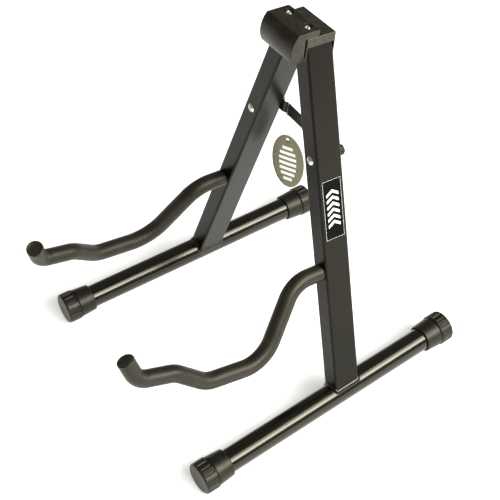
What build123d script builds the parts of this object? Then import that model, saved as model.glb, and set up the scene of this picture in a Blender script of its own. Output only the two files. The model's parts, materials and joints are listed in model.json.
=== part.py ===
"""Folding A-frame guitar stand.

Two splayed legs hang from two pins in a pressed head bracket. Each leg is a rectangular tube welded
to a round base tube with a rubber cap on both ends, and carries a foam-covered rod arm that holds
the body of the guitar. A two-link brace behind the legs locks them open. A rubber pad is screwed on
the head bracket, and a paper tag hangs from the brace.

Frames, in millimetres and degrees:
  world  X to the right, Y to the back, Z up; the floor is Z = 0
  head   origin midway between the hinge pins; x = X, y aft along the pins, z up the leaning plane
  leg    origin on the base tube's axis; x out of the wide face, y aft, z up along the leg
"""
from build123d import *
import os
from math import acos, cos, degrees, pi, radians, sin, sqrt, tan

# ---- stance -------------------------------------------------------------------------------------
LEG_SPLAY = 18.16          # each leg's angle from the middle plane, open
LEG_LEAN = 7.02            # how far the legs' plane leans back
TOE_ANGLE = 2.24           # base tubes stand wider apart at the front
LEG_LENGTH = 377.8         # base tube axis to hinge pin, along the leg
PIN_HALF_SPACING = 13.6    # hinge pin to middle plane
CAP_FOLD_GAP = 1.0         # left between the two rear caps when folded

# ---- base tubes and their caps ------------------------------------------------------------------
BASE_OD = 25.4
BASE_WALL = 1.5
BASE_FRONT = 150.4         # leg axis to the front cap's mouth
BASE_REAR = 109.1          # leg axis to the rear cap's mouth
CAP_LENGTH = 34.4
CAP_COLLAR = 18.7          # smooth collar, from the mouth
CAP_MOUTH_R = BASE_OD / 2 + 2.3
CAP_COLLAR_R = BASE_OD / 2 + 3.5   # collar's radius where it meets the ribbed band
CAP_BAND_R = BASE_OD / 2 + 4.3     # from the axis to the flat of a band pad
CAP_PADS = 16
CAP_GROOVE = 2.1           # width of the grooves between pads
CAP_GROOVE_DEPTH = 1.3
CAP_END_WALL = 5.0
CAP_EDGE_R = 2.6
CAP_FIT = 0.05             # cap bore over the tube
CAP_LEAD_IN = 0.9          # flare of the bore at the mouth

# ---- legs ---------------------------------------------------------------------------------------
LEG_WIDTH = 20.0           # narrow face, seen from the front
LEG_DEPTH = 30.0           # wide face, seen from the side
LEG_WALL = 1.5
LEG_CORNER_R = 2.2

# ---- arms: corners of the rod's centre line in the leg frame, as (y, z), and its bend radii -------
ARM_CORNERS = [(-48.1, 144.4), (-93.2, 73.9), (-159.1, 80.5), (-191.0, 105.1), (-230.1, 114.6)]
ARM_TIP = (-238.9, 140.1)
ARM_BENDS = [31.0, 39.0, 31.0, 27.0, 18.5]
ROD_D = 10.0
FOAM_OD = 17.5
FOAM_ROOT_GAP = 0.4        # foam to the leg's front face
ROD_IN_LEG = 11.0          # rod past the leg's front face
FOAM_END_WALL = 3.9        # foam that closes the sleeve's tip
FOAM_DISH_D = 13.8         # shallow dish in the tip
FOAM_DISH = 1.0
ROD_RECESS = 4.0           # rod end below the tip
ROD_HOLE_FIT = 0.05

# ---- head bracket -------------------------------------------------------------------------------
SHEET = 1.2
HEAD_LENGTH = 50.4
HEAD_SIDE_GAP = 0.2        # bracket flange to leg, each side
PLATE_OVER_PIN = 12.0      # top of the plate above the pin axis
LIP_OVER_PIN = 2.8         # lower edge of the side lips above the pin axis
FLANGE_UNDER_PIN = 11.0    # lower edge of the front and rear flanges below it
HEAD_BEND_R = 1.4
PIN_D = 6.0
PIN_HEAD_D = 10.5
PIN_HEAD_H = 1.4
RUNNING_FIT = 0.06         # radial clearance of everything that turns on a pin or bolt

# ---- head pad -----------------------------------------------------------------------------------
PAD_LENGTH = 49.2
PAD_FLANGE = 6.6           # thickness over the plate
PAD_BACK_Y = -1.6          # rear edge of the flange
PAD_TOP_Y = -26.3          # front edge of the top
PAD_NOSE = (-32.8, 2.4)    # most forward point of the front
PAD_FOOT = (-29.8, -10.4)  # lower edge of the front
PAD_GAP = 1.8              # pad block to bracket, taken up by the pin heads
PAD_EDGE_R = 0.6
PAD_CORNER_R = 2.5         # rear corners of the flange, from above
PAD_SCREW_X = 14.4
PAD_SCREW_Y = -9.4
SCREW_D = 4.0
SCREW_HEAD_D = 8.0
SCREW_HEAD_H = 2.4
SCREW_RECESS_D = 8.9
SCREW_RECESS = 2.4
SCREW_LENGTH = 9.0

# ---- brace --------------------------------------------------------------------------------------
BOLT_BELOW_PIN = 113.6     # bolt to hinge pin, along the leg
BRACE_SAG = 3.6            # each link's angle below level, locked past straight
LINK_HEIGHT = 12.5
LINK_THICK = 1.6
LINK_GAP = 0.1             # between the lapped links
JOGGLE_START = 12.7        # left link: bolt to the start of the offset bend
JOGGLE_RUN = 2.6
BOLT_D = 6.0
BOLT_HEAD_D = 9.6
BOLT_HEAD_H = 2.6
LINK_STANDOFF = 0.2        # leg to link, the height of the ring pressed round the bolt hole
WASHER_T = 1.0
WASHER_D = 12.0
WASHER_GAP = 0.1           # link to rear washer
NUT_AF = 10.0
NUT_H = 4.8
RIVET_D = 5.0
RIVET_HEAD_D = 9.0
RIVET_HEAD_H = 1.3

# ---- label and hang tag --------------------------------------------------------------------------
LABEL_SIZE = (23.4, 63.5)  # across and along the leg
LABEL_T = 0.15
LABEL_R = 1.0
LABEL_MID = (0.0, 211.5)   # its middle in the leg frame, as (y, z)
TAG_HALF = (18.6, 35.6)
TAG_T = 0.6
TAG_TURN = 26.0            # the tag's face, turned from the front towards the right
TAG_HOLE_D = 3.6
TAG_HOLE_UP = 30.1         # hole above the tag's middle
RING_FROM_BOLT = 18.4      # where the tag's ring sits on the left link
RING_FIT = 0.1             # ring to the link's faces and upper edge
RING_CORNER_R = 0.6
THREAD_D = 0.7             # wire of the ring and of the loop
BEAD_D = 2.0               # swivel bead of the loop, on the ring's lower run
BEAD_LENGTH = 1.1
BEAD_GAP = 0.3             # bead to the link's lower edge
LOOP_HALF_WIDTH = 1.0      # middle of the loop to each strand
LOOP_DROP = 31.0           # ring's lower run to the loop's lower end

# ---- derived -------------------------------------------------------------------------------------
RISE = Vector(0, sin(radians(LEG_LEAN)), cos(radians(LEG_LEAN)))
AFT = Vector(0, cos(radians(LEG_LEAN)), -sin(radians(LEG_LEAN)))
HALF_SPREAD = PIN_HALF_SPACING + LEG_LENGTH * sin(radians(LEG_SPLAY))
HEAD_ORIGIN = Vector(0, 0, CAP_BAND_R) + RISE * (LEG_LENGTH * cos(radians(LEG_SPLAY)))
BOLT_X = PIN_HALF_SPACING + BOLT_BELOW_PIN * sin(radians(LEG_SPLAY))
LINK_REACH = BOLT_X / cos(radians(BRACE_SAG))
ARM_ROOT_Z = ARM_CORNERS[0][1]
LINK_FRONT_Y = LEG_DEPTH / 2 + LINK_STANDOFF
REAR_LINK_OFFSET = LINK_THICK + LINK_GAP
WASHER_Y = LINK_FRONT_Y + LINK_THICK + WASHER_GAP
CAP_BACK = CAP_LENGTH - CAP_END_WALL

head_frame = Plane(origin=HEAD_ORIGIN, x_dir=(1, 0, 0), z_dir=RISE)


def leg_axes():
    """Out and up directions of the right leg."""
    a = radians(LEG_SPLAY)
    out = Vector(cos(a), 0, 0) + RISE * sin(a)
    up = Vector(-sin(a), 0, 0) + RISE * cos(a)
    return out, up


LEG_OUT, LEG_UP = leg_axes()
leg_frame = Plane(origin=(HALF_SPREAD, 0, CAP_BAND_R), x_dir=LEG_OUT, z_dir=LEG_UP)
base_dir = Vector(-sin(radians(TOE_ANGLE)), cos(radians(TOE_ANGLE)), 0)
base_frame = Plane(origin=(HALF_SPREAD, 0, CAP_BAND_R), x_dir=(0, 0, 1), z_dir=base_dir)


def fold_angle():
    """Angle that each leg swings until the rear caps are CAP_FOLD_GAP apart."""
    reach = BASE_REAR + CAP_LENGTH
    wanted = CAP_BAND_R / cos(pi / CAP_PADS) + CAP_FOLD_GAP / 2
    low, high = 0.0, LEG_SPLAY
    for _ in range(40):
        mid = (low + high) / 2
        a = radians(mid)
        # the rear end of the tube axis, from the hinge pin, in the head's x and z
        x = LEG_LENGTH * sin(radians(LEG_SPLAY)) - reach * sin(radians(TOE_ANGLE))
        z = -LEG_LENGTH * cos(radians(LEG_SPLAY)) + reach * cos(radians(TOE_ANGLE)) * RISE.Y
        if PIN_HALF_SPACING + x * cos(a) + z * sin(a) > wanted:
            low = mid
        else:
            high = mid
    return low


def link_fold_angle(leg_fold):
    """Angle that each brace link turns on its leg while the leg folds by leg_fold."""
    bolt_x = PIN_HALF_SPACING + BOLT_BELOW_PIN * sin(radians(LEG_SPLAY - leg_fold))
    return degrees(acos(bolt_x / LINK_REACH)) + BRACE_SAG - leg_fold


def in_head(shape):
    return head_frame.location * shape


def in_leg(shape):
    return leg_frame.location * shape


def mirrored(shape):
    return mirror(shape, about=Plane.YZ)


def aft_cylinder(d, y0, y1, x=0.0, z=0.0):
    """Cylinder of diameter d along y from y0 to y1."""
    return Location((x, (y0 + y1) / 2, z)) * Rotation(90, 0, 0) * Cylinder(d / 2, y1 - y0)


def pan_head(d, h, y, x, z, forward=True):
    """Low domed head of diameter d and height h, its flat face at y."""
    dome = (d * d / 4 + h * h) / (2 * h)
    turn = Rotation(90, 0, 0) if forward else Rotation(-90, 0, 0)
    cap = Location((0, 0, h - dome)) * Sphere(dome) & Location((0, 0, h / 2)) * Cylinder(d / 2 - 0.2, h)
    return Location((x, y, z)) * turn * cap


# ---- legs and base -------------------------------------------------------------------------------
def leg_tube():
    """Rectangular tube, coped over the base tube and rounded about the hinge pin."""
    outline = RectangleRounded(LEG_WIDTH, LEG_DEPTH, LEG_CORNER_R)
    bore = RectangleRounded(LEG_WIDTH - 2 * LEG_WALL, LEG_DEPTH - 2 * LEG_WALL, LEG_CORNER_R - LEG_WALL)
    top = LEG_LENGTH + LEG_WIDTH / 2
    tube = extrude(outline - bore, top)
    below = Location((0, 0, LEG_LENGTH / 2)) * Box(3 * LEG_WIDTH, 3 * LEG_DEPTH, LEG_LENGTH)
    tube &= below + aft_cylinder(LEG_WIDTH, -LEG_DEPTH, LEG_DEPTH, z=LEG_LENGTH)
    pin_hole = PIN_D + 2 * RUNNING_FIT
    bolt_hole = BOLT_D + 2 * RUNNING_FIT
    tube -= aft_cylinder(pin_hole, -LEG_DEPTH, LEG_DEPTH, z=LEG_LENGTH)
    tube -= aft_cylinder(bolt_hole, -LEG_DEPTH, LEG_DEPTH, z=LEG_LENGTH - BOLT_BELOW_PIN)
    tube -= aft_cylinder(ROD_D + 2 * ROD_HOLE_FIT, -LEG_DEPTH, 0, z=ARM_ROOT_Z)
    return in_leg(tube) - base_cylinder(BASE_OD / 2, -LEG_DEPTH, LEG_DEPTH)


def base_cylinder(r, y0, y1):
    """Round bar about the base tube's axis, from y0 to y1 along it."""
    return base_frame.location * Location((0, 0, (y0 + y1) / 2)) * Cylinder(r, y1 - y0)


def base_tube():
    front = -(BASE_FRONT + CAP_BACK)
    rear = BASE_REAR + CAP_BACK
    return base_cylinder(BASE_OD / 2, front, rear) - base_cylinder(BASE_OD / 2 - BASE_WALL, front, rear)


def cap():
    """Rubber cap along +z from its mouth: a flared collar, a band of flat pads and a domed end."""
    band0 = CAP_COLLAR
    body = revolve(Plane.XZ * make_face(Polyline(
        (0, 0), (CAP_MOUTH_R - 0.6, 0), (CAP_MOUTH_R, 0.6), (CAP_COLLAR_R, band0 - 0.6),
        (CAP_COLLAR_R - 0.5, band0), (CAP_COLLAR_R - 0.5, CAP_LENGTH - CAP_EDGE_R), (0, CAP_LENGTH - CAP_EDGE_R),
        (0, 0))), Axis.Z)
    band = Location((0, 0, band0 + 0.3)) * extrude(
        RegularPolygon(CAP_BAND_R, CAP_PADS, major_radius=False, rotation=180 / CAP_PADS), CAP_LENGTH - band0 - 0.3)
    dome = CAP_LENGTH + 0.5
    round_end = revolve(Plane.XZ * make_face(
        Polyline((0, band0 - 1), (CAP_BAND_R + 1, band0 - 1), (CAP_BAND_R + 1, CAP_LENGTH - CAP_EDGE_R))
        + ThreePointArc((CAP_BAND_R + 1, CAP_LENGTH - CAP_EDGE_R),
                        (CAP_BAND_R - 0.3, CAP_LENGTH - 0.8), (CAP_BAND_R - CAP_EDGE_R, CAP_LENGTH - 0.1))
        + Polyline((CAP_BAND_R - CAP_EDGE_R, CAP_LENGTH - 0.1), (0, dome - 0.5), (0, band0 - 1))), Axis.Z)
    band &= round_end
    corner = CAP_BAND_R / cos(pi / CAP_PADS)
    groove = Location((corner, 0, (band0 + CAP_LENGTH) / 2)) * Box(
        2 * CAP_GROOVE_DEPTH, CAP_GROOVE, CAP_LENGTH - band0 - 2 * CAP_EDGE_R)
    for i in range(CAP_PADS):
        # a groove on every corner between two flats
        band -= Rotation(0, 0, (i + 0.5) * 360 / CAP_PADS) * groove
    mouth = Location((0, 0, 0.5)) * Cone(BASE_OD / 2 + CAP_LEAD_IN, BASE_OD / 2 + CAP_FIT, 1.0)
    bore = Location((0, 0, CAP_BACK / 2)) * Cylinder(BASE_OD / 2 + CAP_FIT, CAP_BACK)
    return body + band - bore - mouth


def base_caps():
    """Front and rear caps of the right base tube, a flat of each band down on the floor."""
    shape = cap()
    front = base_frame.location * Location((0, 0, -BASE_FRONT)) * Rotation(0, 180, 0) * shape
    rear = base_frame.location * Location((0, 0, BASE_REAR)) * Rotation(0, 0, 180) * shape
    return front, rear


# ---- arms ----------------------------------------------------------------------------------------
def arm_path(root_y, cut_back):
    """Centre line from root_y to cut_back short of the tip, straight runs joined by arcs."""
    last = ARM_CORNERS[-1]
    run = sqrt((ARM_TIP[0] - last[0]) ** 2 + (ARM_TIP[1] - last[1]) ** 2)
    keep = (run - cut_back) / run
    tip = (last[0] + (ARM_TIP[0] - last[0]) * keep, last[1] + (ARM_TIP[1] - last[1]) * keep)
    corners = [(root_y, ARM_ROOT_Z)] + ARM_CORNERS + [tip]
    return FilletPolyline(*[(0, y, z) for y, z in corners], radius=ARM_BENDS)


def swept(path, d):
    return sweep(Plane(origin=path @ 0, z_dir=path % 0) * Circle(d / 2), path=path)


def arm_rod():
    return in_leg(swept(arm_path(-LEG_DEPTH / 2 + ROD_IN_LEG, ROD_RECESS), ROD_D))


def arm_foam():
    """Foam sleeve on the rod, closed at the tip with a shallow dish."""
    root = -LEG_DEPTH / 2 - FOAM_ROOT_GAP
    path = arm_path(root, 0.0)
    dish = Plane(origin=path @ 1, z_dir=path % 1).location * Cylinder(FOAM_DISH_D / 2, 2 * FOAM_DISH)
    return in_leg(swept(path, FOAM_OD) - swept(arm_path(root + 1, FOAM_END_WALL), ROD_D) - dish)


# ---- head ----------------------------------------------------------------------------------------
HEAD_HALF_DEPTH = LEG_DEPTH / 2 + HEAD_SIDE_GAP + SHEET


def head_bracket():
    """Pressed cover: top plate, long front and rear flanges, short side lips."""
    full = PLATE_OVER_PIN + FLANGE_UNDER_PIN
    outer = Location((0, 0, PLATE_OVER_PIN - full / 2)) * Box(HEAD_LENGTH, 2 * HEAD_HALF_DEPTH, full)
    bends = outer.edges().group_by(Axis.Z)[-1] + outer.edges().filter_by(Axis.Z)
    outer = fillet(bends, HEAD_BEND_R)
    inner = Location((0, 0, PLATE_OVER_PIN - SHEET - full / 2)) * Box(
        HEAD_LENGTH - 2 * SHEET, 2 * (HEAD_HALF_DEPTH - SHEET), full)
    shell = outer - inner
    side = LIP_OVER_PIN + FLANGE_UNDER_PIN
    window = Location((0, 0, LIP_OVER_PIN - side / 2)) * Box(
        2 * HEAD_LENGTH, 2 * (HEAD_HALF_DEPTH - SHEET), side)
    shell -= window
    for x in (-PIN_HALF_SPACING, PIN_HALF_SPACING):
        shell -= aft_cylinder(PIN_D, -LEG_DEPTH, LEG_DEPTH, x=x)
    for x in (-PAD_SCREW_X, PAD_SCREW_X):
        shell -= Location((x, PAD_SCREW_Y, PLATE_OVER_PIN)) * Cylinder(SCREW_D / 2, 4 * SHEET)
    return in_head(shell)


def hinge_pin():
    """Riveted pin of the right leg, headed on both flanges."""
    y = HEAD_HALF_DEPTH
    pin = aft_cylinder(PIN_D, -y, y, x=PIN_HALF_SPACING)
    pin += pan_head(PIN_HEAD_D, PIN_HEAD_H, -y, PIN_HALF_SPACING, 0)
    pin += pan_head(PIN_HEAD_D, PIN_HEAD_H, y, PIN_HALF_SPACING, 0, forward=False)
    return in_head(pin)


def head_pad():
    """Rubber block in front of the bracket, its flange lapping over the plate."""
    top = PLATE_OVER_PIN + PAD_FLANGE
    back = -HEAD_HALF_DEPTH - PAD_GAP
    front = ThreePointArc((PAD_TOP_Y, top), PAD_NOSE, PAD_FOOT)
    outline = front + Polyline(
        PAD_FOOT, (back, PAD_FOOT[1]), (back, PLATE_OVER_PIN), (PAD_BACK_Y, PLATE_OVER_PIN),
        (PAD_BACK_Y, top), (PAD_TOP_Y, top))
    face = Plane.YZ * make_face(outline)
    pad = Location((-PAD_LENGTH / 2, 0, 0)) * extrude(face, PAD_LENGTH)
    rear_corners = pad.edges().filter_by(Axis.Z).group_by(Axis.Y)[-1]
    pad = fillet(rear_corners, PAD_CORNER_R)
    pad = fillet(pad.edges().group_by(Axis.Z)[-1], PAD_EDGE_R)
    for x in (-PAD_SCREW_X, PAD_SCREW_X):
        pad -= Location((x, PAD_SCREW_Y, top)) * Cylinder(SCREW_D / 2 + 0.15, 4 * PAD_FLANGE)
        pad -= Location((x, PAD_SCREW_Y, top)) * Cylinder(SCREW_RECESS_D / 2, 2 * SCREW_RECESS)
    return in_head(pad)


def pad_screws():
    """Two cross-recessed pan-head screws, seated in the pad's recesses."""
    seat = PLATE_OVER_PIN + PAD_FLANGE - SCREW_RECESS
    screws = []
    for x in (-PAD_SCREW_X, PAD_SCREW_X):
        shank = Location((0, 0, -SCREW_LENGTH / 2)) * Cylinder(SCREW_D / 2, SCREW_LENGTH)
        dome = (SCREW_HEAD_D ** 2 / 4 + SCREW_HEAD_H ** 2) / (2 * SCREW_HEAD_H)
        head = Location((0, 0, SCREW_HEAD_H - dome)) * Sphere(dome)
        head &= Location((0, 0, SCREW_HEAD_H / 2)) * Cylinder(SCREW_HEAD_D / 2 - 0.3, SCREW_HEAD_H)
        slot = Location((0, 0, SCREW_HEAD_H)) * (Box(4.2, 0.9, 2.4) + Box(0.9, 4.2, 2.4))
        screws.append(Location((x, PAD_SCREW_Y, seat)) * (shank + head - slot))
    return in_head(Compound(children=screws))


# ---- brace ---------------------------------------------------------------------------------------
def in_brace(shape, side):
    """From a link's own frame (x towards the middle from the bolt, y aft, z up) to the world."""
    sag = Rotation(0, BRACE_SAG, 0)
    placed = Location((-BOLT_X, 0, -BOLT_BELOW_PIN * cos(radians(LEG_SPLAY)))) * sag * shape
    placed = in_head(placed)
    return mirrored(placed) if side == "right" else placed


def link_bar(y, x0, x1):
    """Straight stretch of a link's flat bar."""
    return Location(((x0 + x1) / 2, y + LINK_THICK / 2, 0)) * Box(x1 - x0, LINK_THICK, LINK_HEIGHT)


def link_ends(bar, y0, y1):
    """Round the bar's ends and pierce it for the bolt and the rivet."""
    r = LINK_HEIGHT / 2
    hull = Location((LINK_REACH / 2, (y0 + y1) / 2, 0)) * Box(LINK_REACH, y1 - y0, LINK_HEIGHT)
    hull += aft_cylinder(2 * r, y0, y1) + aft_cylinder(2 * r, y0, y1, x=LINK_REACH)
    bar &= hull
    bar -= aft_cylinder(BOLT_D + 2 * RUNNING_FIT, y0, y1)
    return bar - aft_cylinder(RIVET_D, y0, y1, x=LINK_REACH)


def brace_link_right():
    """Flat link, in front at the lap."""
    y = LINK_FRONT_Y
    end = LINK_HEIGHT / 2
    bar = link_bar(y, -end, LINK_REACH + end)
    return in_brace(link_ends(bar, y, y + LINK_THICK), "right")


def brace_link_left():
    """Link with an offset bend, behind the other at the lap."""
    y0 = LINK_FRONT_Y
    y1 = y0 + REAR_LINK_OFFSET
    end = LINK_HEIGHT / 2
    a, b = JOGGLE_START, JOGGLE_START + JOGGLE_RUN
    side = Polyline((-end, y0), (a, y0), (b, y1), (LINK_REACH + end, y1), (LINK_REACH + end, y1 + LINK_THICK),
                    (b, y1 + LINK_THICK), (a, y0 + LINK_THICK), (-end, y0 + LINK_THICK), (-end, y0))
    bar = Location((0, 0, -LINK_HEIGHT / 2)) * extrude(make_face(side), LINK_HEIGHT)
    return in_brace(link_ends(bar, y0, y1 + LINK_THICK), "left")


def brace_rivet_halves():
    """The middle rivet, parted at the lap: the front half on the right link, the rear on the left."""
    y = LINK_FRONT_Y
    front = aft_cylinder(RIVET_D, y, y + LINK_THICK, x=LINK_REACH)
    front += pan_head(RIVET_HEAD_D, RIVET_HEAD_H, y, LINK_REACH, 0)
    back = y + REAR_LINK_OFFSET
    rear = aft_cylinder(RIVET_D, back, back + LINK_THICK, x=LINK_REACH)
    rear += pan_head(RIVET_HEAD_D, RIVET_HEAD_H, back + LINK_THICK, LINK_REACH, 0, forward=False)
    return in_brace(front, "right"), in_brace(rear, "left")


def brace_bolt():
    """Pan-head bolt from the front of the right leg to the nut behind the link."""
    z = LEG_LENGTH - BOLT_BELOW_PIN
    y0 = -LEG_DEPTH / 2
    bolt = aft_cylinder(BOLT_D, y0, WASHER_Y + WASHER_T + NUT_H + 0.8, z=z)
    bolt += pan_head(BOLT_HEAD_D, BOLT_HEAD_H, y0, 0, z)
    reach = 0.54 * BOLT_HEAD_D
    slot = Location((0, y0 - BOLT_HEAD_H, z)) * (Box(reach, BOLT_HEAD_H, 1.1) + Box(1.1, BOLT_HEAD_H, reach))
    return in_leg(bolt - slot)


def brace_nut():
    """Hexagon nut on the brace bolt."""
    z = LEG_LENGTH - BOLT_BELOW_PIN
    y = WASHER_Y + WASHER_T
    nut = extrude(RegularPolygon(NUT_AF / 2, 6, major_radius=False), NUT_H)
    nut &= Location((0, 0, NUT_H / 2)) * Cylinder(NUT_AF / 2 * 1.1, NUT_H)
    nut = Location((0, y + NUT_H, z)) * Rotation(90, 0, 0) * nut
    return in_leg(nut - aft_cylinder(BOLT_D, y - 1, y + NUT_H + 1, z=z))


def brace_washer():
    """Washer between the link and the nut."""
    z = LEG_LENGTH - BOLT_BELOW_PIN
    ring = aft_cylinder(WASHER_D, WASHER_Y, WASHER_Y + WASHER_T, z=z)
    return in_leg(ring - aft_cylinder(BOLT_D, WASHER_Y - 1, WASHER_Y + WASHER_T + 1, z=z))


# ---- label and tag -------------------------------------------------------------------------------
def leg_label():
    """Thin label on the outer face of the right leg."""
    across, along = LABEL_SIZE
    plane = Plane(origin=(LEG_WIDTH / 2, LABEL_MID[0], LABEL_MID[1]), x_dir=(0, 1, 0), z_dir=(1, 0, 0))
    return in_leg(extrude(plane * RectangleRounded(across, along, LABEL_R), LABEL_T))


def ring_frame():
    """Frame in the left link at the ring's swivel: y along the pins, z up the link's plane."""
    y = LINK_FRONT_Y + REAR_LINK_OFFSET + LINK_THICK / 2
    return Location((RING_FROM_BOLT, y, -LINK_HEIGHT / 2 - BEAD_GAP - BEAD_D / 2))


def swivel_point():
    """World point that the tag swings about."""
    return in_brace(ring_frame() * Vertex(0, 0, 0), "left").center()


def tag_ring():
    """Thin ring round the left link, its lower run straight for the loop's bead."""
    half_width = LINK_THICK / 2 + RING_FIT + THREAD_D / 2
    height = LINK_HEIGHT + RING_FIT + THREAD_D / 2 + BEAD_GAP + BEAD_D / 2
    plane = Plane(origin=(0, 0, height / 2), x_dir=(0, 1, 0), z_dir=(1, 0, 0))
    outline = plane * RectangleRounded(2 * half_width, height, RING_CORNER_R)
    return in_brace(ring_frame() * swept(outline.wire(), THREAD_D), "left")


def tag_loop():
    """Plumb loop under the swivel bead: two strands joined by a bend at the bead and one in the tag."""
    p = swivel_point()
    w = LOOP_HALF_WIDTH
    top = p.Z - THREAD_D - RUNNING_FIT - w
    low = p.Z - LOOP_DROP + THREAD_D / 2 + w
    mid = (top + low) / 2
    halves = []
    for bend, way in ((top, 1), (low, -1)):
        path = (Line((p.X, p.Y - w, mid), (p.X, p.Y - w, bend))
                + ThreePointArc((p.X, p.Y - w, bend), (p.X, p.Y, bend + way * w), (p.X, p.Y + w, bend))
                + Line((p.X, p.Y + w, bend), (p.X, p.Y + w, mid)))
        section = Plane(origin=(p.X, p.Y - w, mid), z_dir=(0, 0, way)) * Circle(THREAD_D / 2)
        halves.append(sweep(section, path=path))
    bead = aft_cylinder(BEAD_D, -BEAD_LENGTH / 2, BEAD_LENGTH / 2)
    bore = aft_cylinder(THREAD_D + 2 * RUNNING_FIT, -BEAD_D, BEAD_D)
    loop = halves[0] + halves[1] + in_brace(ring_frame() * bead, "left")
    return loop - in_brace(ring_frame() * bore, "left")


def hang_tag():
    """Oval card tag, hanging plumb from a hole near its upper end."""
    p = swivel_point()
    turn = radians(TAG_TURN)
    hole = (p.X, p.Y, p.Z - LOOP_DROP + THREAD_D + 2 * RUNNING_FIT - TAG_HOLE_D / 2)
    plane = Plane(origin=hole, x_dir=(cos(turn), sin(turn), 0), z_dir=(sin(turn), -cos(turn), 0))
    card = Location((0, -TAG_HOLE_UP)) * Ellipse(*TAG_HALF) - Circle(TAG_HOLE_D / 2)
    return Location(plane.z_dir * (-TAG_T / 2)) * extrude(plane * card, TAG_T)


# ---- assembly ------------------------------------------------------------------------------------
def assembly():
    """Every node by name, centred over the floor."""
    nodes = {
        "head_bracket": head_bracket(),
        "head_pad": head_pad(),
        "pad_screws": pad_screws(),
        "brace_link_right": brace_link_right(),
        "brace_link_left": brace_link_left(),
        "right_leg_label": leg_label(),
        "tag_ring": tag_ring(),
        "tag_loop": tag_loop(),
        "hang_tag": hang_tag(),
    }
    nodes["brace_rivet_front"], nodes["brace_rivet_rear"] = brace_rivet_halves()
    front_cap, rear_cap = base_caps()
    right_side = {
        "hinge_pin": hinge_pin(),
        "leg_tube": leg_tube(),
        "base_tube": base_tube(),
        "front_cap": front_cap,
        "rear_cap": rear_cap,
        "arm_rod": arm_rod(),
        "arm_foam": arm_foam(),
        "brace_bolt": brace_bolt(),
        "brace_nut": brace_nut(),
        "brace_washer": brace_washer(),
    }
    for name, shape in right_side.items():
        nodes["right_" + name] = shape
        nodes["left_" + name] = mirrored(shape)
    shift = Location((0, centring_shift(nodes), 0))
    return {name: shift * shape for name, shape in nodes.items()}


def centring_shift(nodes):
    """Move along Y that puts the origin under the middle of the whole stand."""
    boxes = [shape.bounding_box() for shape in nodes.values()]
    return -(min(b.min.Y for b in boxes) + max(b.max.Y for b in boxes)) / 2


if __name__ == "__main__":
    os.makedirs("parts", exist_ok=True)
    for node, solid in assembly().items():
        export_step(solid, f"parts/{node}.step")
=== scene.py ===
import json
from math import cos, pi, radians, sin

import bmesh
import bpy
import numpy as np
from mathutils import Matrix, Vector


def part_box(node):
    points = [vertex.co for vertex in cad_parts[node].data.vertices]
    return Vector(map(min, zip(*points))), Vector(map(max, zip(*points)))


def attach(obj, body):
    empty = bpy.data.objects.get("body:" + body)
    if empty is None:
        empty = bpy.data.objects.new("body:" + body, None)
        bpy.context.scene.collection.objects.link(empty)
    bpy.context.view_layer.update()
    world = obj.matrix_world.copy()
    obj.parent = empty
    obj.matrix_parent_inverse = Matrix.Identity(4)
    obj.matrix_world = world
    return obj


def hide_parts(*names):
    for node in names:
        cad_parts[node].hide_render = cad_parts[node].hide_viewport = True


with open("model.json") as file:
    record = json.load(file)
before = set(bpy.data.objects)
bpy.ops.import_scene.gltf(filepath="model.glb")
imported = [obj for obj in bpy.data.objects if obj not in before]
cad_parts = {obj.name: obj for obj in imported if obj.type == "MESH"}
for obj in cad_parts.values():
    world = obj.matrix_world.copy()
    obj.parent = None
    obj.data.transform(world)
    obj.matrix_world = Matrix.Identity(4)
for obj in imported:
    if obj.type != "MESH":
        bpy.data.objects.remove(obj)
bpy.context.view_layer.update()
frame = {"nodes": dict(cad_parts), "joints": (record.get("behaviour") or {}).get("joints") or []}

# Looks of a folding guitar stand around its CAD frame. Lengths are in metres, and MM turns a
# millimetre size into metres. The leg frame has x out of the leg's wide face, y aft along the pins
# and z up the leg, with its origin on the base tube's axis.
MM = 0.001
joints = {joint["name"]: joint for joint in frame["joints"]}
CAD = frame["nodes"]


# ---- places taken from the frame -----------------------------------------------------------------
def unit(v):
    return v / np.linalg.norm(v)


AFT = unit(np.array(joints["right_leg_fold"]["axis"]))
PIN = np.array(joints["right_leg_fold"]["pos_m"])
BOLT = np.array(joints["right_link_fold"]["pos_m"])
SWIVEL = np.array(joints["tag_swing"]["pos_m"])
LEG_UP = unit(PIN - BOLT)
LEG_OUT = np.cross(AFT, LEG_UP)
tube_low, tube_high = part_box("right_base_tube")
BASE_HEIGHT = (tube_low.z + tube_high.z) / 2
LEG_FOOT = PIN - LEG_UP * (PIN[2] - BASE_HEIGHT) / LEG_UP[2]

# ---- sizes that the new pieces share with the CAD ------------------------------------------------
LEG_WIDTH = 20.0 * MM
LEG_DEPTH = 30.0 * MM
LEG_CORNER_R = 2.2 * MM
TOE_ANGLE = radians(2.24)
BASE_R = 12.7 * MM
BASE_FRONT = 150.4 * MM
BASE_REAR = 109.1 * MM
ARM_CORNERS = np.array([(-15.4, 144.4), (-48.1, 144.4), (-93.2, 73.9), (-159.1, 80.5),
                        (-191.0, 105.1), (-230.1, 114.6), (-238.9, 140.1)]) * MM
ARM_BENDS = np.array([31.0, 39.0, 31.0, 27.0, 18.5]) * MM
FOAM_R = 8.75 * MM
FOAM_BORE_R = 5.02 * MM
FOAM_END_WALL = 3.9 * MM
LABEL_SIZE = (23.4 * MM, 63.5 * MM)
LABEL_HEIGHT = 211.5 * MM
TAG_HALF = (18.6 * MM, 35.6 * MM)
TAG_TURN = radians(26.0)
TAG_HOLE_R = 1.8 * MM
TAG_HOLE_UP = 30.1 * MM
TAG_HOLE_DROP = 31.98 * MM

BASE_DIR = np.array([-sin(TOE_ANGLE), cos(TOE_ANGLE), 0.0])


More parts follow.
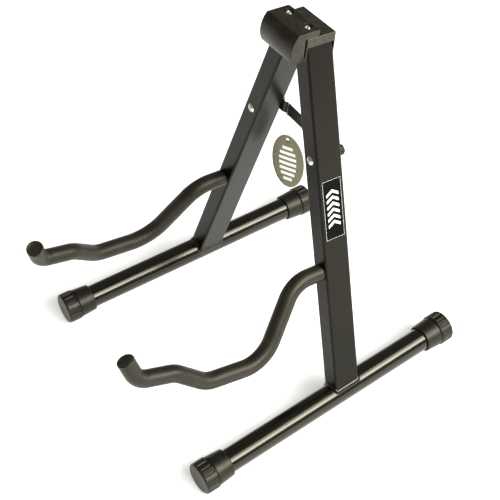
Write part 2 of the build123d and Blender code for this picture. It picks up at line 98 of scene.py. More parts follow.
# ---- mesh helpers --------------------------------------------------------------------------------
def from_leg(points):
    """Leg-frame points to the stand's frame: foot + x out + y aft + z up."""
    return LEG_FOOT + points[..., :1] * LEG_OUT + points[..., 1:2] * AFT + points[..., 2:] * LEG_UP


def surface(name, grid, poles=(), ring=False):
    """Mesh of a grid of points whose columns wrap round.

    Row i and row i + 1 are joined by quads. With ring the last row joins the first. poles are one
    point before the first row and one after the last, each joined to its row by a fan.
    """
    rows, cols = grid.shape[:2]
    index = np.arange(rows * cols).reshape(rows, cols)
    below = np.roll(index, -1, axis=0) if ring else index[1:]
    above = index if ring else index[:-1]

    def right(block):
        """The next point round from each point of a block."""
        return np.roll(block, -1, axis=-1)

    quads = np.stack([above, right(above), right(below), below], -1).reshape(-1, 4)
    points = grid.reshape(-1, 3)
    faces = quads.tolist()
    if len(poles):
        first, last = rows * cols, rows * cols + 1
        points = np.vstack([points, poles])
        faces += np.stack([right(index[0]), index[0], np.full(cols, first)], -1).tolist()
        faces += np.stack([index[-1], right(index[-1]), np.full(cols, last)], -1).tolist()
    mesh = bpy.data.meshes.new(name)
    mesh.from_pydata(points.tolist(), [], faces)
    mesh.polygons.foreach_set("use_smooth", np.ones(len(mesh.polygons), bool))
    piece = bpy.data.objects.new(name, mesh)
    bpy.context.scene.collection.objects.link(piece)
    face_outward(mesh)
    return piece


def face_outward(mesh):
    """Turn every face of a closed mesh to point out."""
    work = bmesh.new()
    work.from_mesh(mesh)
    bmesh.ops.recalc_face_normals(work, faces=work.faces)
    work.to_mesh(mesh)
    work.free()


def sided(points, side):
    """Points as they are for the right side, mirrored across the middle plane for the left."""
    return points * np.array([1.0 if side == "right" else -1.0, 1.0, 1.0])


def point_values(piece, name, values):
    """Store one number per vertex for a material to read."""
    attribute = piece.data.attributes.new(name, "FLOAT", "POINT")
    attribute.data.foreach_set("value", np.asarray(values, np.float32).ravel())


def flat_uv(piece, across, along):
    """UV map of a flat piece from one (across, along) pair, 0 to 1, per vertex."""
    pairs = np.stack([across.ravel(), along.ravel()], -1)
    corner = np.empty(len(piece.data.loops), np.int32)
    piece.data.loops.foreach_get("vertex_index", corner)
    layer = piece.data.uv_layers.new(name="face")
    layer.data.foreach_set("uv", pairs[corner].ravel())


# ---- materials -----------------------------------------------------------------------------------
def linear(hex_colour):
    """sRGB hex colour to linear RGBA."""
    srgb = np.array([int(hex_colour[i:i + 2], 16) for i in (1, 3, 5)]) / 255
    rgb = np.where(srgb <= 0.04045, srgb / 12.92, ((srgb + 0.055) / 1.055) ** 2.4)
    return (*rgb, 1.0)


def add(tree, kind, settings=None, **links):
    """Add a node with its settings. A link is a socket's name, or _ and its number, with a value or
    another node's socket."""
    new = tree.nodes.new(kind)
    for key, value in (settings or {}).items():
        setattr(new, key, value)
    for key, value in links.items():
        by_number = key[0] == "_" and key[1:].isdigit()
        socket = new.inputs[int(key[1:]) if by_number else key.replace("_", " ")]
        if isinstance(value, bpy.types.NodeSocket):
            tree.links.new(value, socket)
        else:
            socket.default_value = value
    return new


GLINT = "#fff8df"  # every finish's highlights are slightly warm


def start(name, **shader):
    """New material: its tree, its shader with the given sockets, and object coordinates."""
    material = bpy.data.materials.new(name)
    material.use_nodes = True
    tree = material.node_tree
    tree.nodes.clear()
    bsdf = add(tree, "ShaderNodeBsdfPrincipled", **shader)
    bsdf.inputs["Specular Tint"].default_value = linear(GLINT)
    add(tree, "ShaderNodeOutputMaterial", Surface=bsdf.outputs[0])
    place = add(tree, "ShaderNodeTexCoord").outputs["Object"]
    return material, tree, bsdf, place


def maths(tree, operation, first, second=0.0):
    """Result of one operation on two numbers or sockets."""
    return add(tree, "ShaderNodeMath", {"operation": operation}, _0=first, _1=second).outputs[0]


def grain(tree, place, size_mm, detail=2.0, rough=0.5):
    """Noise whose blobs are about size_mm across."""
    return add(tree, "ShaderNodeTexNoise", Vector=place, Scale=0.5 / (size_mm * MM), Detail=detail,
               Roughness=rough).outputs["Fac"]


def between(tree, value, low, high):
    """Value from 0..1 stretched to low..high."""
    return add(tree, "ShaderNodeMapRange", Value=value, To_Min=low, To_Max=high).outputs[0]


def tint(tree, value, dark, light, low=0.35, high=0.65):
    """Colour from dark to light as value goes from low to high."""
    ramp = add(tree, "ShaderNodeValToRGB", Fac=value)
    ramp.color_ramp.elements[0].position = low
    ramp.color_ramp.elements[0].color = linear(dark)
    ramp.color_ramp.elements[1].position = high
    ramp.color_ramp.elements[1].color = linear(light)
    return ramp.outputs[0]


def relief(tree, bsdf, height, depth_mm, strength=1.0, under=None):
    """Bump of the given depth into the shader's normal, over another bump if there is one."""
    links = {"Normal": under} if under else {}
    bump = add(tree, "ShaderNodeBump", Height=height, Strength=strength, Distance=depth_mm * MM, **links)
    tree.links.new(bump.outputs[0], bsdf.inputs["Normal"])
    return bump.outputs[0]


def powder_coat(name, gloss, ior, dark, light, peel_mm=0.008):
    """Black polyester powder coat on steel: baked, so it has a fine orange peel and soft sheen."""
    material, tree, bsdf, place = start(name, Metallic=0.0, IOR=ior)
    clouds = grain(tree, place, 14.0, detail=3.0)
    tree.links.new(tint(tree, clouds, dark, light), bsdf.inputs["Base Color"])
    specks = grain(tree, place, 1.1, detail=1.0)
    tree.links.new(between(tree, specks, gloss - 0.05, gloss + 0.07), bsdf.inputs["Roughness"])
    peel = grain(tree, place, 0.9, detail=1.0)
    relief(tree, bsdf, peel, peel_mm)
    return material


def moulded_rubber(name, gloss, dark, light, skin_mm=0.03):
    """Black SBR rubber from a spark-eroded mould: a matte, slightly dusty skin with fine grain.

    The mould's grain is about 0.2 mm and is drawn at 0.9 mm so that it shows.
    """
    material, tree, bsdf, place = start(name, Metallic=0.0, IOR=1.4)
    bloom = grain(tree, place, 6.0, detail=4.0, rough=0.65)
    tree.links.new(tint(tree, bloom, dark, light), bsdf.inputs["Base Color"])
    tree.links.new(between(tree, grain(tree, place, 2.0), gloss - 0.06, gloss + 0.08),
                   bsdf.inputs["Roughness"])
    relief(tree, bsdf, grain(tree, place, 0.9, detail=3.0), skin_mm)
    return material


def arm_foam_rubber():
    """Closed-cell NBR foam sleeve: dull grey-black, with a skin of tiny burst cells.

    The cells are about 0.2 mm and are drawn at 0.55 mm so that they show. The knife that trimmed
    the sleeve as it turned left rings every 1.6 mm.
    """
    material, tree, bsdf, place = start("closed_cell_nbr_foam", Metallic=0.0, IOR=1.4)
    cell, ring_pitch = 0.55 * MM, 1.6 * MM
    cells = add(tree, "ShaderNodeTexVoronoi", Vector=place, Scale=1 / cell).outputs["Distance"]
    cloud = grain(tree, place, 9.0, detail=4.0)
    tree.links.new(tint(tree, cloud, "#171510", "#201d17"), bsdf.inputs["Base Color"])
    tree.links.new(between(tree, cloud, 0.36, 0.46), bsdf.inputs["Roughness"])
    run = add(tree, "ShaderNodeAttribute", {"attribute_name": "run"}).outputs["Fac"]
    rings = maths(tree, "SINE", maths(tree, "MULTIPLY", run, 2 * pi / ring_pitch))
    soft = relief(tree, bsdf, rings, 0.05, strength=0.8)
    relief(tree, bsdf, cells, 0.05, strength=0.7, under=soft)
    return material


def zinc_plate(name):
    """Bright zinc-plated steel: cold-headed and barrel-plated, so it shines with small dents."""
    material, tree, bsdf, place = start(name, Metallic=1.0)
    stain = grain(tree, place, 3.0, detail=3.0)
    tree.links.new(tint(tree, stain, "#d6d4cb", "#efeee8"), bsdf.inputs["Base Color"])
    tree.links.new(between(tree, grain(tree, place, 0.8), 0.16, 0.34), bsdf.inputs["Roughness"])
    relief(tree, bsdf, grain(tree, place, 0.7, detail=2.0), 0.02)
    return material


def thin_black(name, gloss, dark, light, ior=1.42):
    """Mild steel in thin black paint or oxide: mill grain shows through as faint mottling."""
    material, tree, bsdf, place = start(name, Metallic=0.0, IOR=ior)
    mottle = grain(tree, place, 2.2, detail=5.0, rough=0.7)
    tree.links.new(tint(tree, mottle, dark, light), bsdf.inputs["Base Color"])
    tree.links.new(between(tree, mottle, gloss - 0.08, gloss + 0.1), bsdf.inputs["Roughness"])
    relief(tree, bsdf, grain(tree, place, 0.8, detail=3.0), 0.03)
    return material


def band(tree, value, middle, half):
    """1 where value is within half of middle, else 0, with a crisp printed edge."""
    off = maths(tree, "ABSOLUTE", maths(tree, "SUBTRACT", value, middle))
    return maths(tree, "LESS_THAN", off, half)


def printed_axes(tree, size):
    """Place on a flat printed piece in millimetres from its middle, from its UV map."""
    uv = add(tree, "ShaderNodeTexCoord").outputs["UV"]
    parts = add(tree, "ShaderNodeSeparateXYZ", Vector=uv)
    return [maths(tree, "MULTIPLY", maths(tree, "SUBTRACT", parts.outputs[i], 0.5), size[i] / MM)
            for i in (0, 1)]


def join(tree, shapes, operation="MAXIMUM"):
    """All printed shapes together, or with MULTIPLY what they have in common."""
    total = shapes[0]
    for shape in shapes[1:]:
        total = maths(tree, operation, total, shape)
    return total


def print_on(tree, bsdf, shape, ground, ink):
    """Ground colour with ink where shape is 1."""
    mix = add(tree, "ShaderNodeMix", {"data_type": "RGBA"})
    tree.links.new(shape, mix.inputs[0])
    for socket, colour in ((mix.inputs[6], ground), (mix.inputs[7], ink)):
        if isinstance(colour, bpy.types.NodeSocket):
            tree.links.new(colour, socket)
        else:
            socket.default_value = linear(colour)
    tree.links.new(mix.outputs[2], bsdf.inputs["Base Color"])


def label_vinyl():
    """Gloss black vinyl label, screen-printed with a thin outline and plain chevrons."""
    material, tree, bsdf, place = start("gloss_vinyl", Metallic=0.0, IOR=1.14, Roughness=0.24)
    across, along = printed_axes(tree, LABEL_SIZE)
    inset, half_line = 0.9, 0.1
    frame_x, frame_y = (side / MM / 2 - inset for side in LABEL_SIZE)
    far_x = maths(tree, "ABSOLUTE", across)
    far_y = maths(tree, "ABSOLUTE", along)
    sides = join(tree, [band(tree, far_x, frame_x, half_line),
                        maths(tree, "LESS_THAN", far_y, frame_y + half_line)], "MULTIPLY")
    ends = join(tree, [band(tree, far_y, frame_y, half_line),
                       maths(tree, "LESS_THAN", far_x, frame_x + half_line)], "MULTIPLY")
    # six chevrons 6.5 mm apart: along + slope * |across| lies within half a bar of a middle
    pitch, half_bar, half_span, slope = 6.5, 1.5, 7.2, 0.6
    folded = maths(tree, "ADD", along, maths(tree, "MULTIPLY", far_x, slope))
    inside = maths(tree, "LESS_THAN", far_x, half_span)
    chevrons = [join(tree, [band(tree, folded, pitch * number, half_bar), inside], "MULTIPLY")
                for number in range(-2, 4)]
    shape = join(tree, [sides, ends] + chevrons)
    print_on(tree, bsdf, shape, "#030302", "#f4f4ee")
    relief(tree, bsdf, grain(tree, place, 5.0), 0.02, strength=0.5)
    return material


def tag_card():
    """Silver-printed coated card with plain bars."""
    material, tree, bsdf, place = start("silver_printed_card", Metallic=0.55, Roughness=0.42)
    across, along = printed_axes(tree, (2 * TAG_HALF[0], 2 * TAG_HALF[1]))
    far = maths(tree, "ABSOLUTE", across)
    # seven bars from the top down, each as long as the oval leaves room for
    top, pitch, half_bar = 18.0, 7.0, 2.0
    half_lengths = (6.0, 9.0, 10.0, 10.0, 9.5, 8.0, 5.0)
    bars = [join(tree, [band(tree, along, top - pitch * number, half_bar),
                        maths(tree, "LESS_THAN", far, half_length)], "MULTIPLY")
            for number, half_length in enumerate(half_lengths)]
    ground = tint(tree, grain(tree, place, 0.6, detail=3.0), "#6f6b56", "#7f7b64")
    print_on(tree, bsdf, join(tree, bars), ground, "#f6f5ee")
    relief(tree, bsdf, grain(tree, place, 1.2, detail=2.0), 0.01)
    return material


def clear_nylon():
    """Clear moulded nylon: almost invisible, with thin bright glints."""
    material, tree, bsdf, place = start("clear_nylon", Metallic=0.0, IOR=1.53, Roughness=0.12)
    bsdf.inputs["Transmission Weight"].default_value = 0.9
    bsdf.inputs["Base Color"].default_value = linear("#f2f2ee")
    relief(tree, bsdf, grain(tree, place, 0.8), 0.01)
    return material


LEG_COAT = powder_coat("satin_black_powder_coat", 0.3, 1.28, "#070604", "#0b0a07")
TUBE_COAT = powder_coat("gloss_black_powder_coat", 0.17, 1.52, "#070604", "#0a0907", peel_mm=0.003)
BRACKET_PAINT = thin_black("pressed_steel_black_paint", 0.28, "#14120c", "#2b281e", ior=1.44)
LINK_PAINT = thin_black("flat_bar_black_paint", 0.42, "#090806", "#0f0e0b")
RIVET_STEEL = thin_black("black_oxide_rivet_steel", 0.4, "#0a0a08", "#12110e", ior=1.25)
CAP_RUBBER = moulded_rubber("moulded_sbr_rubber", 0.4, "#0d0c09", "#15130f")
PAD_RUBBER = moulded_rubber("moulded_pad_rubber", 0.32, "#12100b", "#24211a", skin_mm=0.07)
FOAM = arm_foam_rubber()
ZINC = zinc_plate("bright_zinc_plate")
ROD_STEEL = thin_black("drawn_rod_black_oxide", 0.5, "#0c0c0a", "#12110f")
VINYL = label_vinyl()
CARD = tag_card()
NYLON = clear_nylon()


def dress(piece, material):
    """Give a piece or a CAD node one material."""
    piece.data.materials.clear()
    piece.data.materials.append(material)
    return piece


# ---- arms ----------------------------------------------------------------------------------------
def rounded_run(corners, radii, step):
    """Line through corners with arcs: its heading is linear along each arc and steady between.

    Returns run length, points, heading and signed curvature, by adding up the heading's cosine and
    sine along the run.
    """
    legs = np.diff(corners, axis=0)
    lengths = np.linalg.norm(legs, axis=1)
    heading = np.unwrap(np.arctan2(legs[:, 1], legs[:, 0]))
    turn = np.diff(heading)
    setback = radii * np.tan(np.abs(turn) / 2)
    straight = lengths - np.concatenate([[0], setback]) - np.concatenate([setback, [0]])
    pieces = np.empty(2 * len(lengths) - 1)
    pieces[0::2] = straight
    pieces[1::2] = radii * np.abs(turn)
    knots = np.concatenate([[0], np.cumsum(pieces)])
    knot_heading = np.repeat(heading, 2)
    count = int(round(knots[-1] / step)) + 1
    run = np.linspace(0, knots[-1], count)
    angle = np.interp(run, knots, knot_heading)
    mid = np.interp((run[1:] + run[:-1]) / 2, knots, knot_heading)
    hops = np.stack([np.cos(mid), np.sin(mid)], -1) * np.diff(run)[:, None]
    points = corners[0] + np.vstack([[0, 0], np.cumsum(hops, axis=0)])
    bend = np.gradient(angle, run)
    return run, points, angle, bend


def arm_sleeve(side):
    """Foam sleeve: a circle carried along the rod's line, with small folds inside each bend.

    radius = foam radius - fold depth * (share of full bend) * (how far the point faces the inside
    of the bend)^1.5 * ((1 + cos(2 pi run / fold pitch + wander)) / 2)^2. The tip turns in through a
    rounded rim to a dish, depth = dish * (1 - (radius / dish radius)^2)^0.5, and the bore ends
    short of it.
    """
    step, cols = 0.3 * MM, 72
    fold_pitch, fold_depth = 2.1 * MM, 0.42 * MM
    full_bend = 1 / (22.0 * MM)
    rim = 1.1 * MM
    run, centre, heading, bend = rounded_run(ARM_CORNERS, ARM_BENDS, step)
    # the bend's start and end are spread over 12 steps each way, as foam spreads them
    spread = 12
    window = np.hanning(2 * spread + 1)
    smooth = np.convolve(np.pad(bend, spread, "edge"), window / window.sum(), "valid")
    share = np.clip(np.abs(smooth) / full_bend, 0, 1.2)
    around = np.linspace(0, 2 * pi, cols, endpoint=False)
    inward = np.cos(around)[None, :] * np.sign(smooth)[:, None]
    facing = np.clip(inward, 0, 1) ** 1.5
    wander = 0.35 * np.sin(run / (7.3 * MM)) + 0.25 * np.sin(run / (3.1 * MM) + 1.0)
    folds = (0.5 + 0.5 * np.cos(2 * pi * run / fold_pitch + wander)) ** 2
    radius = FOAM_R - fold_depth * share[:, None] * facing * folds[:, None]
    # the rims: the radius falls along a quarter circle over the last rim of the run
    from_end = np.minimum(run, run[-1] - run)
    drop = rim - np.sqrt(np.clip(rim ** 2 - np.clip(rim - from_end, 0, rim) ** 2, 0, None))
    radius = radius - drop[:, None]
    normal = np.stack([-np.sin(heading), np.cos(heading)], -1)

    def ring(i, r):
        """Circle or circles of radius r about the line at stations i."""
        sideways = r[..., None] * np.cos(around)[None, :, None] * normal[i][:, None, :]
        flat = centre[i][:, None, :] + sideways
        out = r * np.sin(around)[None, :]
        return np.concatenate([out[..., None], flat], -1)

    stations = np.arange(len(run))
    outer = ring(stations, radius)
    # the dish, from the tip's rim to its middle, sunk back along the run
    dish_r, dish = 6.9 * MM, 1.0 * MM
    share_out = np.array([1.0, 0.985, 0.95, 0.85, 0.65, 0.4, 0.15])
    sink = dish * np.sqrt(np.clip(1 - share_out ** 2, 0, None))
    ahead = np.array([cos(heading[-1]), sin(heading[-1])])
    last = np.full(len(share_out) + 1, -1)
    dish_lip = 0.2 * MM
    tip_r = np.concatenate([[FOAM_R - rim - dish_lip], dish_r * share_out])
    tip = ring(last, np.repeat(tip_r[:, None], cols, axis=1))
    tip[..., 1:] -= np.concatenate([[0.0], sink])[:, None, None] * ahead
    # the bore runs back from the end wall with a ring at every eighth station
    end, stride = np.searchsorted(run, run[-1] - FOAM_END_WALL), 8
    back = np.concatenate([np.arange(end, stride, -stride), [0]])
    bore = ring(back, np.full((len(back), cols), FOAM_BORE_R))
    grid = from_leg(np.concatenate([bore, outer, tip]))
    flat_poles = np.stack([centre[end], centre[-1] - dish * ahead])
    poles = from_leg(np.concatenate([np.zeros((2, 1)), flat_poles], -1))
    piece = surface(side + "_foam_sleeve", sided(grid, side), poles=sided(poles, side))
    values = np.concatenate([run[back], run, np.full(len(last), run[-1])])
    point_values(piece, "run", np.concatenate([np.repeat(values, cols), [run[end], run[-1]]]))
    dress(piece, FOAM)
    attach(piece, side + "_leg")
    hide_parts(side + "_arm_foam")
    return piece


# ---- caps ----------------------------------------------------------------------------------------
def blend_in(value, low, high):
    """Smooth step from 0 at low to 1 at high."""
    t = np.clip((value - low) / (high - low), 0, 1)
    return t * t * (3 - 2 * t)


def base_cap(side, end):
    """Rubber cap: its outline turned about the tube's axis, with flat pads raised on the band.

    radius = outline radius + pad height - groove depth. A pad's face is flat, so its height is
    band radius / cos(angle from the pad's middle) - band radius. The groove lies along the edge
    between two pads and fades out towards the band's two ends. The outline is in millimetres from
    the mouth, as (along the axis, radius).
    """
    pads = 16
    cols = pads * 20
    length, collar = 34.4, 18.7
    bore_r, bore_end = 12.75, 29.4
    mouth_r, collar_r, band_r, edge_r = 15.0, 16.2, 17.0, 2.4
    groove_depth, groove_floor, groove_lip = 1.3, 0.75, 1.3
    lip_end, cone_end = 1.0, collar - 0.9
    band_low, band_high = collar + 0.5, length - edge_r
    mouth = [(bore_end, bore_r), (6.0, bore_r), (lip_end, bore_r), (0.35, bore_r + 0.5),
             (0.0, bore_r + 0.9), (0.0, mouth_r - 0.9), (0.18, mouth_r - 0.5), (0.5, mouth_r - 0.15),
             (lip_end, mouth_r)]
    taper = (collar_r - mouth_r) / (cone_end - lip_end)
    cone = [(z, mouth_r + taper * (z - lip_end)) for z in np.linspace(2.0, cone_end, 12)]
    step_in = [(collar - 0.45, collar_r - 0.1), (collar - 0.15, collar_r - 0.4),
               (collar, collar_r - 0.6), (collar + 0.25, collar_r - 0.65)]
    shoulder = [(collar + 0.4, collar_r - 0.5), (band_low + 0.1, collar_r)]
    band = [(z, band_r) for z in np.linspace(band_low + 0.4, band_high, 22)]
    edge = [(band_high + edge_r * sin(turn), band_r - edge_r + edge_r * cos(turn))
            for turn in np.linspace(0.12, 1, 9) * pi / 2]
    face = [(length, r) for r in (13.2, 11.0, 8.0, 5.0, 2.0)]
    outline = np.array(mouth + cone + step_in + shoulder + band + edge + face)
    z, r = outline[:, 0], outline[:, 1]
    around = np.linspace(0, 2 * pi, cols, endpoint=False)
    pitch = 2 * pi / pads
    local = (around + pitch / 2) % pitch - pitch / 2
    flat = band_r / np.cos(local) - band_r
    to_edge = band_r * (pitch / 2 - np.abs(local))
    groove = groove_depth * (1 - blend_in(to_edge, groove_floor, groove_lip))
    on_band = blend_in(z, band_low, band_low + 0.5) * (r > collar_r + 0.2) * (z < band_high + 1.9)
    groove_start = blend_in(z, band_low + 1.2, band_low + 2.2)
    groove_end = 1 - blend_in(z, band_high - 0.8, band_high + 0.6)
    in_groove = groove_start * groove_end
    radius = r[:, None] + on_band[:, None] * flat - in_groove[:, None] * groove
    along = z[:, None] * np.ones(cols)
    mouth_at, way = (-BASE_FRONT, -1.0) if end == "front" else (BASE_REAR, 1.0)
    axis_at = LEG_FOOT + BASE_DIR * mouth_at
    up = np.array([0.0, 0.0, 1.0])
    across = np.cross(BASE_DIR, up)

    def placed(along_mm, radius_mm, angle):
        """Point at a run along the tube's axis, a radius and an angle, in the stand's frame."""
        run = (way * along_mm * MM)[..., None] * BASE_DIR
        outward = np.cos(angle)[..., None] * up + np.sin(angle)[..., None] * across
        return axis_at + run + (radius_mm * MM)[..., None] * outward

    grid = placed(along, radius, np.broadcast_to(around, along.shape))
    zero = np.zeros(2)
    poles = placed(np.array([bore_end, length]), zero, zero)
    name = f"{side}_{end}_cap"
    piece = surface(name + "_rubber", sided(grid, side), poles=sided(poles, side))
    dress(piece, CAP_RUBBER)
    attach(piece, side + "_leg")
    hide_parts(name)
    return piece


# ---- welds ---------------------------------------------------------------------------------------
def rounded_rectangle(width, height, corner, count):
    """Outline spaced evenly by length: straight sides and quarter arcs.

    Returns points, outward normals and run length. A point is the sum of the small steps up to it,
    each along the heading, which is the normal's angle plus a quarter turn.
    """
    a, b = width / 2 - corner, height / 2 - corner
    pieces = [2 * b, corner * pi / 2, 2 * a, corner * pi / 2] * 2
    knots = np.concatenate([[0], np.cumsum(pieces)])
    turned = np.array([0, 0, 1, 1, 2, 2, 3, 3, 4]) * pi / 2
    run = np.linspace(0, knots[-1], count, endpoint=False)
    angle = np.interp(run, knots, turned)
    fine = np.linspace(0, knots[-1], 20001)
    heading = np.interp((fine[1:] + fine[:-1]) / 2, knots, turned) + pi / 2
    hops = np.stack([np.cos(heading), np.sin(heading)], -1) * (fine[1] - fine[0])
    path = np.array([width / 2, -b]) + np.vstack([[0, 0], np.cumsum(hops, axis=0)])
    points = np.stack([np.interp(run, fine, path[:, i]) for i in (0, 1)], -1)
    return points, np.stack([np.cos(angle), np.sin(angle)], -1), run


def weld_bead(side):
    """Fillet weld round the leg's foot: an ellipse carried along the line where the leg's outline
    meets the base tube, its broad face halfway between the two, pulsing with each puddle.

    point = middle + size * (width * cos * along the face + height * sin * out of the face)
    """
    count, cols = 520, 20
    outline, normal, run = rounded_rectangle(LEG_WIDTH, LEG_DEPTH, LEG_CORNER_R, count)
    flat = np.concatenate([outline, np.zeros((count, 1))], -1)
    base = from_leg(flat) - LEG_FOOT
    # z up the leg where the distance to the tube's axis is its radius: a quadratic in z
    off_base = base - (base @ BASE_DIR)[:, None] * BASE_DIR
    off_up = LEG_UP - (LEG_UP @ BASE_DIR) * BASE_DIR
    a, b, c = off_up @ off_up, 2 * off_base @ off_up, (off_base ** 2).sum(1) - BASE_R ** 2
    z = (-b + np.sqrt(np.clip(b * b - 4 * a * c, 0, None))) / (2 * a)
    line = base + z[:, None] * LEG_UP
    out = normal[:, :1] * LEG_OUT + normal[:, 1:] * AFT
    from_axis = line - (line @ BASE_DIR)[:, None] * BASE_DIR
    from_axis /= np.linalg.norm(from_axis, axis=1)[:, None]
    width, height, puddle, lift = 2.9 * MM, 1.35 * MM, 2.4 * MM, 0.35 * MM
    ripple = np.abs(np.sin(pi * run / puddle))
    wander = 0.12 * np.sin(run / (9.0 * MM)) + 0.08 * np.sin(run / (4.1 * MM) + 2.0)
    size = 0.9 + 0.08 * ripple + 0.6 * wander
    face = out + from_axis
    face /= np.linalg.norm(face, axis=1)[:, None]
    across = out - (out * face).sum(1)[:, None] * face
    across /= np.linalg.norm(across, axis=1)[:, None]
    middle = LEG_FOOT + line + face * lift
    around = np.linspace(0, 2 * pi, cols, endpoint=False)
    spoke = (width * np.cos(around)[None, :, None] * across[:, None, :]
             + height * np.sin(around)[None, :, None] * face[:, None, :])
    grid = middle[:, None, :] + size[:, None, None] * spoke
    piece = surface(side + "_weld_bead", sided(grid, side), ring=True)
    dress(piece, TUBE_COAT)
    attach(piece, side + "_leg")
    return piece


# ---- label and tag -------------------------------------------------------------------------------
def leg_label():
    """Vinyl label: its rounded outline drawn in from the edge towards the middle, ring by ring.

    point = outline - inset along the outline's normal, at the leg's face + lift.
    """
    count, corner = 160, 1.0 * MM
    outline, normal, _ = rounded_rectangle(*LABEL_SIZE, corner, count)
    inset = np.array([0.0, 0.0, 0.05, 0.4, 3.0, 11.0]) * MM
    lift = np.array([0.0, 0.11, 0.15, 0.15, 0.15, 0.15]) * MM
    flat = outline[None] - inset[:, None, None] * normal[None]
    reach = np.maximum(np.array(LABEL_SIZE) / 2 - inset[:, None], 0)[:, None, :]
    flat = np.clip(flat, -reach, reach)
    away = LEG_WIDTH / 2 + lift
    grid = np.concatenate([np.broadcast_to(away[:, None, None], flat.shape[:2] + (1,)), flat], -1)
    grid = grid + np.array([0.0, 0.0, LABEL_HEIGHT])
    poles = np.array([(LEG_WIDTH / 2, 0, LABEL_HEIGHT), (away[-1], 0, LABEL_HEIGHT)])
    piece = surface("leg_label_vinyl", from_leg(grid), poles=from_leg(poles))
    size = np.array(LABEL_SIZE)
    place = np.concatenate([flat.reshape(-1, 2), np.zeros((2, 2))]) / size + 0.5
    flat_uv(piece, place[:, 0], place[:, 1])
    piece.data.polygons.foreach_set("use_smooth", np.zeros(len(piece.data.polygons), bool))
    dress(piece, VINYL)
    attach(piece, "right_leg")
    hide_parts("right_leg_label")
    return piece


def oval_tag():
    """Card tag: rings from the hole's edge to the oval's, in front and behind, slightly curled.

    point = circle + share * (oval - circle), where the circle is the hole's, and it moves back by
    curl * (across / half width)^2. The last ring on each face stops an edge's width short of the
    oval, and the oval itself lies at the middle of the card's thickness.
    """
    count, rings = 128, 14
    half_t, curl, edge = 0.28 * MM, 0.9 * MM, 0.12 * MM
    around = np.linspace(0, 2 * pi, count, endpoint=False)
    oval = np.stack([TAG_HALF[0] * np.cos(around), TAG_HALF[1] * np.sin(around)], -1)
    hole = np.array([0.0, TAG_HOLE_UP])
    spoke = oval - hole
    spoke /= np.linalg.norm(spoke, axis=1)[:, None]
    circle = hole + TAG_HOLE_R * spoke
    share = np.linspace(0, 1, rings)[:, None, None]
    front = circle + (oval - circle) * share
    rim_in = front[-1] - edge * spoke
    flat = np.concatenate([front[:-1], rim_in[None], front[-1:], rim_in[None], front[-2::-1]])
    side = np.concatenate([np.ones(rings), [0.0], -np.ones(rings)])[:, None]
    back = curl * (flat[..., 0] / TAG_HALF[0]) ** 2
    x_dir = np.array([cos(TAG_TURN), sin(TAG_TURN), 0.0])
    face = np.array([sin(TAG_TURN), -cos(TAG_TURN), 0.0])
    hole_at = SWIVEL - np.array([0.0, 0.0, TAG_HOLE_DROP])
    middle = hole_at - np.array([0.0, 0.0, TAG_HOLE_UP])
    up = np.array([0.0, 0.0, 1.0])
    depth = side * half_t - back
    grid = middle + flat[..., :1] * x_dir + flat[..., 1:] * up + depth[..., None] * face
    piece = surface("oval_card_tag", grid, ring=True)
    place = flat.reshape(-1, 2) / (2 * np.array(TAG_HALF)) + 0.5
    flat_uv(piece, place[:, 0], place[:, 1])
    dress(piece, CARD)
    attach(piece, "tag")
    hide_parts("hang_tag")
    return piece


# ---- head pad ------------------------------------------------------------------------------------
def head_pad():
    """Rubber block of the CAD pad's outline, every sharp edge rounded as a mould leaves it."""
    mesh = CAD["head_pad"].data.copy()
    piece = bpy.data.objects.new("head_pad_rubber", mesh)
    bpy.context.scene.collection.objects.link(piece)
    work = bmesh.new()
    work.from_mesh(mesh)
    bmesh.ops.remove_doubles(work, verts=work.verts, dist=0.005 * MM)
    bmesh.ops.dissolve_limit(work, angle_limit=radians(1.0), verts=work.verts, edges=work.edges)
    work.to_mesh(mesh)
    work.free()
    bevel = piece.modifiers.new("moulded_edges", "BEVEL")
    bevel.width = 1.0 * MM
    bevel.segments = 3
    bevel.limit_method = "ANGLE"
    bevel.angle_limit = radians(40)
    mesh.polygons.foreach_set("use_smooth", np.ones(len(mesh.polygons), bool))
    dress(piece, PAD_RUBBER)
    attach(piece, "head")
    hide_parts("head_pad")
    return piece


# ---- CAD nodes that stay -------------------------------------------------------------------------
def dress_cad():
    """Give every CAD node that stays the material of its own finish."""
    for side in ("right", "left"):
        dress(CAD[side + "_leg_tube"], LEG_COAT)
        dress(CAD[side + "_base_tube"], TUBE_COAT)
        dress(CAD[side + "_hinge_pin"], RIVET_STEEL)
        dress(CAD[side + "_arm_rod"], ROD_STEEL)
        # the bolt is bright in front of the link's joint and dark behind it
        bolt = dress(CAD[side + "_brace_bolt"], ZINC)
        bolt.data.materials.append(RIVET_STEEL)
        for face in bolt.data.polygons:
            middle = np.array(bolt.matrix_world @ face.center) - sided(BOLT, side)
            face.material_index = int(middle @ AFT > 0)
        for part in ("_brace_nut", "_brace_washer"):
            dress(CAD[side + part], RIVET_STEEL)
    for name in ("brace_link_right", "brace_link_left"):
        dress(CAD[name], LINK_PAINT)
    for name in ("brace_rivet_front", "brace_rivet_rear"):
        dress(CAD[name], RIVET_STEEL)
    dress(CAD["head_bracket"], BRACKET_PAINT)
    dress(CAD["pad_screws"], ZINC)
    for name in ("tag_ring", "tag_loop"):
        dress(CAD[name], NYLON)


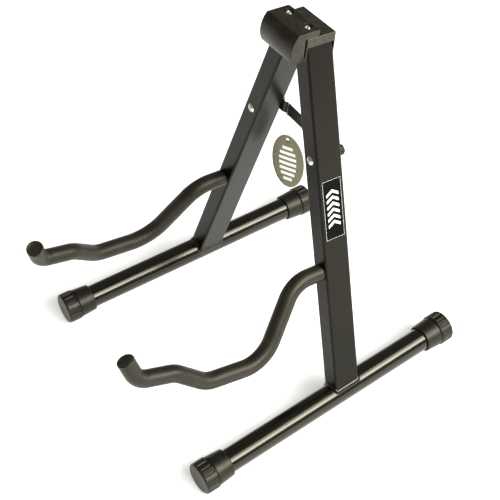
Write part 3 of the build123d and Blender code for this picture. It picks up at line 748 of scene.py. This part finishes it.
# ---- floor, light and camera ---------------------------------------------------------------------
def floor():
    """Plain pale floor: an opal acrylic shooting table, lit a little from below."""
    half = 8.0
    corners = [(-half, -half, 0), (half, -half, 0), (half, half, 0), (-half, half, 0)]
    mesh = bpy.data.meshes.new("floor")
    mesh.from_pydata(corners, [], [(0, 1, 2, 3)])
    piece = bpy.data.objects.new("floor", mesh)
    bpy.context.scene.collection.objects.link(piece)
    material, tree, bsdf, place = start("opal_acrylic", Roughness=0.9)
    cloud = grain(tree, place, 400.0)
    tree.links.new(tint(tree, cloud, "#f2f2f0", "#f6f6f4"), bsdf.inputs["Base Color"])
    bsdf.inputs["Emission Color"].default_value = linear("#fffffb")
    bsdf.inputs["Emission Strength"].default_value = 0.46
    dress(piece, material)


def stand_at(thing, right, up, back, place):
    """Turn and place a lamp or camera by its three axes and its origin."""
    axes = np.eye(4)
    axes[:3] = np.stack([right, up, back, place], -1)
    thing.matrix_world = Matrix(axes.tolist())


def soft_light(name, place, aim, size, power):
    """Rectangular softbox at place that faces aim."""
    lamp = bpy.data.lights.new(name, "AREA")
    lamp.shape = "RECTANGLE"
    lamp.size, lamp.size_y = size
    lamp.energy = power
    holder = bpy.data.objects.new(name, lamp)
    bpy.context.scene.collection.objects.link(holder)
    back = unit(np.array(place) - np.array(aim))
    right = unit(np.cross([0, 0, 1], back))
    stand_at(holder, right, np.cross(back, right), back, place)


def studio():
    """Dim surroundings, and a long softbox behind on the right whose upper part is weaker."""
    world = bpy.data.worlds.new("studio")
    bpy.context.scene.world = world
    world.use_nodes = True
    background = world.node_tree.nodes["Background"]
    background.inputs[0].default_value = linear("#fffdf6")
    background.inputs[1].default_value = 0.24
    bpy.context.scene.view_settings.view_transform = "Standard"
    aim = (0.0, 0.0, 0.1)
    soft_light("strip_softbox", (1.96, 0.90, 1.58), aim, (2.7, 0.75), 118.0)
    soft_light("strip_softbox_top", (1.53, 0.72, 2.15), aim, (2.7, 0.72), 42.0)


def camera():
    """Camera at its viewing angle: azimuth from the front towards the right, height and roll."""
    azimuth, height, roll = radians(56.69), radians(45.68), radians(-1.92)
    place = (0.74109, -0.4679, 1.03823)
    back = np.array([sin(azimuth) * cos(height), -cos(azimuth) * cos(height), sin(height)])
    level = np.array([cos(azimuth), sin(azimuth), 0.0])
    tall = np.cross(back, level)
    right = cos(roll) * level + sin(roll) * tall
    up = -sin(roll) * level + cos(roll) * tall
    lens = bpy.data.cameras.new("camera")
    lens.sensor_width = 36.0
    lens.lens = 88.05
    lens.clip_start = 0.01
    eye = bpy.data.objects.new("camera", lens)
    bpy.context.scene.collection.objects.link(eye)
    stand_at(eye, right, up, back, place)
    bpy.context.scene.camera = eye


camera()
studio()
floor()
dress_cad()
for side in ("right", "left"):
    arm_sleeve(side)
    weld_bead(side)
    for end in ("front", "rear"):
        base_cap(side, end)
head_pad()
leg_label()
oval_tag()
